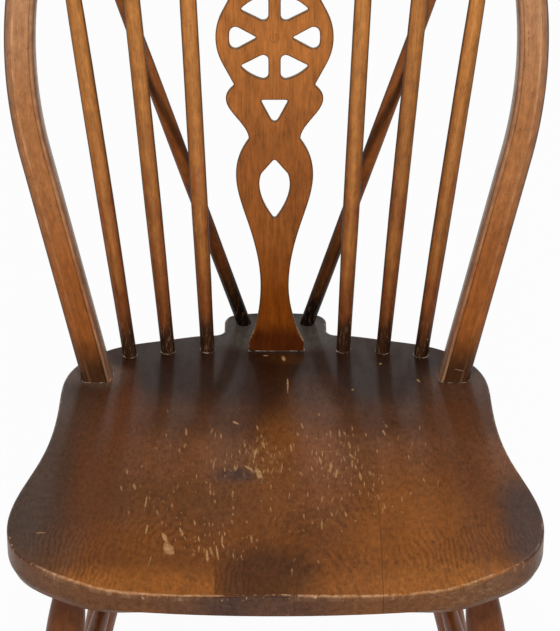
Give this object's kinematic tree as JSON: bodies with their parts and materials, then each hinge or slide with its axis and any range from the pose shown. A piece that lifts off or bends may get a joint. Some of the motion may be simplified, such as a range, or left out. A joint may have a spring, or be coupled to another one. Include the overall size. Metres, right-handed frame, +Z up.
{
  "type": "wheelback chair",
  "caption": "Wooden dining chair with a hollowed seat, a bent bow back filled by turned spindles and a pierced wheel splat, braces behind, and turned legs joined by stretchers.",
  "frame": {"origin": "middle of the chair's footprint, on the floor under the middle of its overall box", "axes": "+Z up, -Y to the front where the sitter's legs are, +X to the right as seen from the front"},
  "size_m": [0.4524, 0.44, 0.927],
  "materials": {
    "seat": "dark stained elm, satin varnish, worn arris",
    "bow": "stained beech, satin varnish",
    "splat": "orange-brown stained beech, satin varnish",
    "sticks": "stained beech, satin varnish, dark at the feet",
    "legs": "dark stained beech, satin varnish",
    "wedges": "bare beech end grain"
  },
  "bodies": {
    "root": {"bow": "bow", "bow_wedge_left": "wedges", "bow_wedge_right": "wedges", "brace_left": "sticks", "brace_right": "sticks", "cross_stretcher": "legs", "leg_front_left": "legs", "leg_front_right": "legs", "leg_rear_left": "legs", "leg_rear_right": "legs", "seat_board_centre": "seat", "seat_board_left": "seat", "seat_board_right": "seat", "side_stretcher_left": "legs", "side_stretcher_right": "legs", "spindle_left_1": "sticks", "spindle_left_2": "sticks", "spindle_left_3": "sticks", "spindle_right_1": "sticks", "spindle_right_2": "sticks", "spindle_right_3": "sticks", "splat": "splat"}
  },
  "joints": []
}
